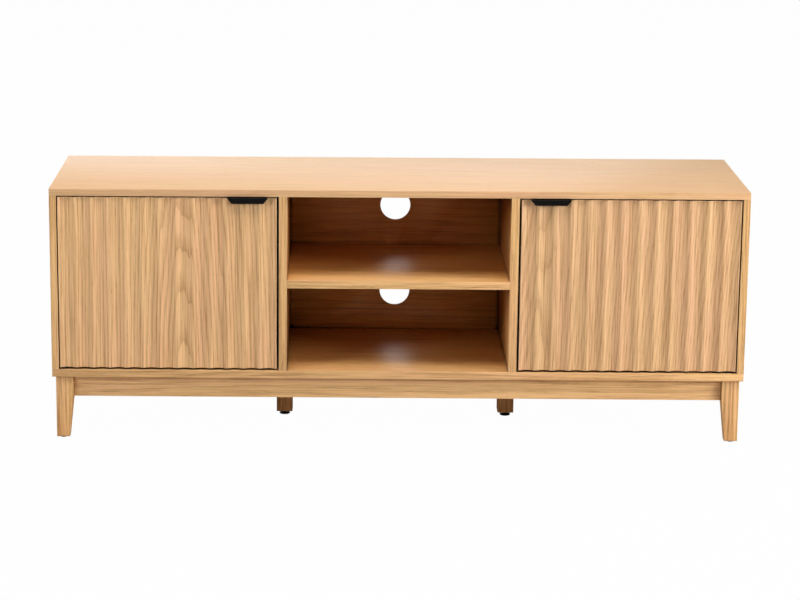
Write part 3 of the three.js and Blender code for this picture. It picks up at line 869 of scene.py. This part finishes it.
levellingFoot = {
    "padRound": 1.2 * mm,  # easing of the pad's lower rim
    "padEdge": 2.4 * mm,  # height of the rim
    "shoulder": (0.8 * mm, 3.1 * mm),  # in from the rim, and height
    "neck": ((9.0 * mm, 3.9 * mm), (6.6 * mm, 4.6 * mm), (6.2 * mm, 5.0 * mm)),  # radius and height
    "stem": 4.0 * mm,  # radius over the thread
    "threadPitch": 1.25 * mm,
    "threadDepth": 0.6 * mm,
    "threadStart": 5.2 * mm,
    "plainHeight": 6.0 * mm,  # of the foot, without thread
    "tip": 0.3 * mm,
    "segments": 40,
    "sharp": 25.0,  # degrees
}


def footProfile(pad, top):
    # (radius, height) from the underside, over the pad's rim and up the thread
    values = levellingFoot
    ease, edge, stem = values["padRound"], values["padEdge"], values["stem"]
    core, pitch = stem - values["threadDepth"], values["threadPitch"]
    inset, shoulder = values["shoulder"]
    profile = [(0, 0), (pad - ease, 0), (pad - ease / 4, ease / 3), (pad, ease), (pad, edge),
               (pad - inset, shoulder), *values["neck"], (core, values["neck"][-1][1])]
    for step in range(int((top - values["plainHeight"]) / pitch)):
        base = values["threadStart"] + step * pitch
        profile += [(core, base), (stem, base + pitch * 0.4), (stem, base + pitch * 0.6)]
    return profile + [(core, top - values["tip"]), (core, top), (0, top)]


def makeLevellingFeet():
    for side, _ in sides:
        node = f"{side}_levelling_foot"
        low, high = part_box(node)
        centreX, centreY, _ = middleOf(low, high)
        profile = footProfile((high.x - low.x) / 2, high.z - low.z)
        foot = turned(f"{side}_levelling_foot_screw", profile, looks["blackPlasticMaterial"],
                      (centreX, centreY, low.z), segments=levellingFoot["segments"],
                      sharp=levellingFoot["sharp"])
        setUp(foot, node)
    print("levelling feet:", len(sides))


peg = {
    "radius": 2.5 * mm,
    "collar": 4.5 * mm,
    "collarStart": 0.05 * mm,  # clear of the board's face
    "collarEnd": 1.0 * mm,
    "collarRound": 0.3 * mm,
    "segments": 32,
}


def makePegs():
    radius, collar, ease = peg["radius"], peg["collar"], peg["collarRound"]
    for side, sign in sides:
        for wall, facing in (("outer", -sign), ("inner", sign)):
            for end in ("front", "rear"):
                node = f"{side}_shelf_peg_{wall}_{end}"
                low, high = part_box(node)
                half = (high.x - low.x) / 2
                profile = [(0, -half), (radius - chamfer, -half), (radius, -half + chamfer),
                           (radius, 0), (collar, peg["collarStart"]), (collar, peg["collarEnd"] - ease),
                           (collar - ease, peg["collarEnd"]), (radius, peg["collarEnd"]),
                           (radius, half - chamfer), (radius - chamfer, half), (0, half)]
                made = turned(f"{side}_{wall}_{end}_shelf_peg", profile, looks["steelMaterial"],
                              middleOf(low, high), "x" if facing > 0 else "-x", peg["segments"])
                setUp(made, node)
    print("shelf pegs:", 4 * len(sides))


pivot = {
    "collar": 5.0 * mm,  # radius of the ring that carries the door
    "collarLift": 1.3 * mm,  # of the ring above the bottom board
    "doorGap": 0.05 * mm,
    "segments": 32,
}

bush = {
    "bore": 3.08 * mm,  # radii
    "barrel": 5.0 * mm,
    "flange": 7.0 * mm,
    "flangeThickness": 1.0 * mm,
    "flangeGap": 0.05 * mm,  # clear of the board's face
    "length": 8.0 * mm,
}


def makeTopPivot(side):
    node = f"{side}_door_top_pin"
    low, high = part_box(node)
    centreX, centreY, _ = middleOf(low, high)
    radius, top = (high.x - low.x) / 2, high.z - low.z
    profile = [(0, 0), (radius - chamfer, 0), (radius, chamfer), (radius, top - chamfer),
               (radius - chamfer, top), (0, top)]
    made = turned(f"{side}_top_pivot", profile, looks["handleMaterial"], (centreX, centreY, low.z),
                  segments=pivot["segments"])
    setUp(made, node)
    return centreX, centreY, radius


def makeBottomPivot(side, centreX, centreY, radius):
    node = f"{side}_door_bottom_pin"
    low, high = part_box(node)
    collar, top = pivot["collar"], high.z - low.z
    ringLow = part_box("bottom_panel")[1].z + pivot["collarLift"] - low.z
    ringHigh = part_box(f"{side}_door")[0].z - pivot["doorGap"] - low.z
    profile = [(0, 0), (radius - chamfer, 0), (radius, chamfer), (radius, ringLow),
               (collar - chamfer, ringLow), (collar, ringLow + chamfer),
               (collar, ringHigh - chamfer), (collar - chamfer, ringHigh), (radius, ringHigh),
               (radius, top - chamfer), (radius - chamfer, top), (0, top)]
    made = turned(f"{side}_bottom_pivot", profile, looks["handleMaterial"],
                  (centreX, centreY, low.z), segments=pivot["segments"])
    setUp(made, node)


def makeBushes(side, centreX, centreY):
    bore, barrel, flange = bush["bore"], bush["barrel"], bush["flange"]
    under, length = -bush["flangeThickness"], bush["length"]
    profile = [(bore, under + chamfer), (bore + chamfer, under), (flange - chamfer, under),
               (flange, under + chamfer), (flange, -bush["flangeGap"]), (barrel, -bush["flangeGap"]),
               (barrel, length - chamfer), (barrel - chamfer, length), (bore, length),
               (bore, under + chamfer)]
    for end, axis in (("top", "z"), ("bottom", "-z")):
        node = f"{side}_{end}_bush"
        low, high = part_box(node)
        face = high.z - length if end == "top" else low.z + length  # of the board it is set in
        made = turned(f"{side}_{end}_flanged_bush", profile, looks["blackPlasticMaterial"],
                      (centreX, centreY, face), axis)
        setUp(made, node)


def makePivots():
    for side, _ in sides:
        centreX, centreY, radius = makeTopPivot(side)
        makeBottomPivot(side, centreX, centreY, radius)
        makeBushes(side, centreX, centreY)
    print("pivots and bushes:", 4 * len(sides))


catches = {"catchEdge": 0.5 * mm, "strikeEdge": 0.25 * mm}


def makeCatches():
    for side, _ in sides:
        easedCopy(f"{side}_magnetic_catch", looks["whitePlasticMaterial"], catches["catchEdge"])
        easedCopy(f"{side}_strike_plate", looks["steelMaterial"], catches["strikeEdge"])
    print("catches and strike plates:", 2 * len(sides))


# screw heads, by geometry nodes: a point for each screw, with the way it faces

screws = {
    "doorHead": 2.0 * mm,
    "doorDome": 0.4 * mm,
    "catchHead": 2.6 * mm,
    "catchDome": 0.8 * mm,
    "slotShare": 1.1,  # length of the cross, in head radii
    "slotWidth": 0.5 * mm,
    "handleSpacing": 44.0 * mm,
    "handleDrop": 6.5 * mm,  # below the folded top
    "catchSpacing": 38.0 * mm,
    "headSegments": 24,
    "headRings": 12,
    "flatBack": -0.05,  # where the head's ball is cut flat, in dome heights
    "sharp": 35.0,  # degrees
    "seed": 7,
}


def makeScrewTree():
    tree, given, out = newGroup("screwHeads", "GeometryNodeTree", [
        ("Geometry", "NodeSocketGeometry", None),
        ("Head Radius", "NodeSocketFloat", 0.002),
        ("Dome Height", "NodeSocketFloat", 0.0005),
        ("Slot Width", "NodeSocketFloat", 0.0005),
        ("Slot Length", "NodeSocketFloat", 0.0022),
        ("Turn Seed", "NodeSocketInt", 7),
        ("Screw Material", "NodeSocketMaterial", None),
    ], [("Geometry", "NodeSocketGeometry")])
    radius, dome = given["Head Radius"], given["Dome Height"]
    # a domed head with a cross cut into it
    ball = addNode(tree, "GeometryNodeMeshUVSphere", {
        "Segments": screws["headSegments"], "Rings": screws["headRings"], "Radius": 1.0})
    at = splitVector(tree, tree.nodes.new("GeometryNodeInputPosition").outputs[0])
    level = calc(tree, "MAXIMUM", at["Z"], screws["flatBack"])
    sized = joinVector(tree, calc(tree, "MULTIPLY", at["X"], radius),
                       calc(tree, "MULTIPLY", at["Y"], radius),
                       calc(tree, "MULTIPLY", level, dome))
    head = addNode(tree, "GeometryNodeSetPosition", {"Geometry": ball.outputs["Mesh"], "Position": sized})
    crossed = addNode(tree, "GeometryNodeMeshBoolean", operation="DIFFERENCE")
    tree.links.new(head.outputs[0], crossed.inputs["Mesh 1"])
    for sizeX, sizeY in (("Slot Length", "Slot Width"), ("Slot Width", "Slot Length")):
        bar = addNode(tree, "GeometryNodeMeshCube", {
            "Size": joinVector(tree, given[sizeX], given[sizeY], dome)})
        lifted = addNode(tree, "GeometryNodeTransform", {
            "Geometry": bar.outputs["Mesh"], "Translation": joinVector(tree, 0.0, 0.0, dome)})
        tree.links.new(lifted.outputs[0], crossed.inputs["Mesh 2"])
    # one on each point, turned at random about the way it faces
    facing = addNode(tree, "GeometryNodeInputNamedAttribute", {"Name": "facing"},
                     data_type="FLOAT_VECTOR")
    upright = addNode(tree, "FunctionNodeAlignRotationToVector", {
        "Vector": facing.outputs["Attribute"]}, axis="Z")
    spin = addNode(tree, "FunctionNodeRandomValue", {"Seed": given["Turn Seed"]}, data_type="FLOAT")
    twist = addNode(tree, "FunctionNodeAxisAngleToRotation", {
        "Axis": (0.0, 0.0, 1.0), "Angle": calc(tree, "MULTIPLY", spin.outputs[1], math.pi)})
    way = addNode(tree, "FunctionNodeRotateRotation", {
        "Rotation": upright.outputs[0], "Rotate By": twist.outputs[0]}, rotation_space="LOCAL")
    placed = addNode(tree, "GeometryNodeInstanceOnPoints", {
        "Points": given["Geometry"], "Instance": crossed.outputs["Mesh"], "Rotation": way.outputs[0]})
    real = addNode(tree, "GeometryNodeRealizeInstances", {"Geometry": placed.outputs[0]})
    painted = addNode(tree, "GeometryNodeSetMaterial", {
        "Geometry": real.outputs[0], "Material": given["Screw Material"]})
    tree.links.new(painted.outputs[0], out["Geometry"])
    return tree


def makeScrewSet(name, tree, seats, radius, dome, body):
    # seats: (place, way it faces)
    points = bpy.data.meshes.new(name + "Seats")
    points.from_pydata([place for place, _ in seats], [], [])
    facing = points.attributes.new("facing", "FLOAT_VECTOR", "POINT")
    for index, (_, way) in enumerate(seats):
        facing.data[index].vector = way
    mesh = grow(name, tree, {
        "Head Radius": radius,
        "Dome Height": dome,
        "Slot Width": screws["slotWidth"],
        "Slot Length": radius * screws["slotShare"],
        "Turn Seed": screws["seed"],
        "Screw Material": looks["steelMaterial"],
    }, points)
    mesh.shade_smooth()
    mesh.set_sharp_from_angle(angle=math.radians(screws["sharp"]))
    piece = newPiece(name, mesh, looks["steelMaterial"])
    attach(piece, body)
    return len(seats)


def makeScrews():
    tree = makeScrewTree()
    catchSeats = []
    total = 0
    for side, _ in sides:
        low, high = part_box(f"{side}_door_handle")
        middle, height = (low.x + high.x) / 2, high.z - screws["handleDrop"]
        seats = [((middle + way * screws["handleSpacing"] / 2, high.y, height), (0, 1, 0))
                 for way in (-1, 1)]
        low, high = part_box(f"{side}_strike_plate")
        plateX, _, plateZ = middleOf(low, high)
        seats.append(((plateX, high.y, plateZ), (0, 1, 0)))
        total += makeScrewSet(f"{side}_door_screws", tree, seats, screws["doorHead"],
                              screws["doorDome"], bodyOf[f"{side}_door"])
        low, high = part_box(f"{side}_magnetic_catch")
        catchX, catchY, _ = middleOf(low, high)
        catchSeats += [((catchX + way * screws["catchSpacing"] / 2, catchY, low.z), (0, 0, -1))
                       for way in (-1, 1)]
    total += makeScrewSet("catch_screws", tree, catchSeats, screws["catchHead"],
                          screws["catchDome"], bodyOf["left_magnetic_catch"])
    print("screws:", total)


makeBoards()
makeDoors()
makeHandles()
makeGlides()
makeLevellingFeet()
makePegs()
makePivots()
makeCatches()
makeScrews()


# floor, light and camera

stageValues = {
    "floorHalf": 40.0,
    "floorTone": (0.5, 0.5, 0.5),
    "floorSpecular": 0.1,
    "floorRoughness": 0.9,
    "floorGlow": 0.985,  # how far the floor is lit from below, as a light table is
    "worldFront": 0.16,  # studio brightness in front of the cabinet
    "worldBehind": 0.39,  # and on the white wall behind it
    "wallStart": -0.1,  # how far a direction points backwards where the wall starts to show
    "wallFull": 0.45,
}


def makeFloor():
    half = stageValues["floorHalf"]
    work = bmesh.new()
    corners = [work.verts.new((x, y, cadBox[0].z)) for x, y in
               ((-half, -half), (half, -half), (half, half), (-half, half))]
    work.faces.new(corners)
    mesh = bpy.data.meshes.new("studio_floor")
    work.to_mesh(mesh)
    work.free()
    material, tree, shader = startMaterial("studioFloorMaterial", stageValues["floorSpecular"])
    shader.inputs["Base Color"].default_value = opaque(stageValues["floorTone"])
    shader.inputs["Roughness"].default_value = stageValues["floorRoughness"]
    glow = addNode(tree, "ShaderNodeEmission", {"Color": (1, 1, 1, 1), "Strength": 1.0})
    ray = addNode(tree, "ShaderNodeLightPath").outputs["Is Camera Ray"]
    seen = calc(tree, "MULTIPLY", ray, stageValues["floorGlow"])
    both = addNode(tree, "ShaderNodeMixShader", {0: seen, 1: shader.outputs[0], 2: glow.outputs[0]})
    tree.links.new(both.outputs[0], tree.nodes["Material Output"].inputs["Surface"])
    floor = newPiece("studio_floor", mesh, material)


def makeWorld():
    world = bpy.data.worlds.new("studioWorld")
    world.use_nodes = True
    tree = world.node_tree
    tree.nodes.clear()
    seen = addNode(tree, "ShaderNodeBackground", {"Color": (1, 1, 1, 1), "Strength": 1.0})
    backwards = splitVector(tree, addNode(tree, "ShaderNodeTexCoord").outputs["Generated"])["Y"]
    strength = remap(tree, backwards, stageValues["wallStart"], stageValues["wallFull"],
                     stageValues["worldFront"], stageValues["worldBehind"])
    fill = addNode(tree, "ShaderNodeBackground", {"Color": (1, 1, 1, 1), "Strength": strength})
    ray = addNode(tree, "ShaderNodeLightPath").outputs["Is Camera Ray"]
    both = addNode(tree, "ShaderNodeMixShader", {0: ray, 1: fill.outputs[0], 2: seen.outputs[0]})
    addNode(tree, "ShaderNodeOutputWorld", {"Surface": both.outputs[0]})
    bpy.context.scene.world = world


def softbox(name, place, aim, size, power):
    light = bpy.data.lights.new(name, "AREA")
    light.shape = "RECTANGLE"
    light.size, light.size_y = size
    light.energy = power
    lamp = bpy.data.objects.new(name, light)
    bpy.context.scene.collection.objects.link(lamp)
    lamp.location = place
    lamp.visible_camera = False
    lamp.rotation_euler = (Vector(aim) - Vector(place)).to_track_quat("-Z", "Y").to_euler()


softboxes = {  # where each stands and points, its size in metres and its watts
    "overheadBox": {"place": (0.0, -1.7, 5.0), "aim": (0, 0, 0.35), "size": (2.4, 1.6), "power": 160},
    "rightBox": {"place": (3.6, -1.6, 1.3), "aim": (0.3, -0.2, 0.35), "size": (1.3, 1.3), "power": 102},
    "leftBox": {"place": (-3.2, -2.4, 1.6), "aim": (-0.3, -0.2, 0.35), "size": (0.9, 0.9), "power": 37},
    "backLeftCard": {"place": (-2.6, 3.6, 1.7), "aim": (-0.8, 0, 0.6), "size": (4.0, 2.0), "power": 14},
    "backCard": {"place": (-1.0, 5.5, 2.2), "aim": (0, 0, 0.6), "size": (5.0, 2.4), "power": 60},
}


def makeLights():
    for name, box in softboxes.items():
        softbox(name, **box)


viewpoint = {
    "place": (-0.133, -5.477, 1.694),
    "pitch": 11.91,  # degrees below the horizon
    "yaw": 0.52,  # degrees to the left
    "roll": 0.255,
    "lens": 106.6,
    "sensor": 36.0,
    "shift": (0.10, -0.13),
    "clip": (0.1, 200.0),
}


def makeCamera():
    data = bpy.data.cameras.new("studioCamera")
    data.lens = viewpoint["lens"]
    data.sensor_width = viewpoint["sensor"]
    data.shift_x, data.shift_y = viewpoint["shift"]
    data.clip_start, data.clip_end = viewpoint["clip"]
    camera = bpy.data.objects.new("studioCamera", data)
    bpy.context.scene.collection.objects.link(camera)
    turn = (Matrix.Rotation(math.radians(viewpoint["yaw"]), 4, "Z")
            @ Matrix.Rotation(math.radians(90 - viewpoint["pitch"]), 4, "X")
            @ Matrix.Rotation(math.radians(viewpoint["roll"]), 4, "Z"))
    camera.matrix_world = Matrix.Translation(viewpoint["place"]) @ turn
    bpy.context.scene.camera = camera


makeFloor()
makeWorld()
makeLights()
makeCamera()
bpy.context.scene.view_settings.view_transform = "Standard"
print("stage, lights and camera set")
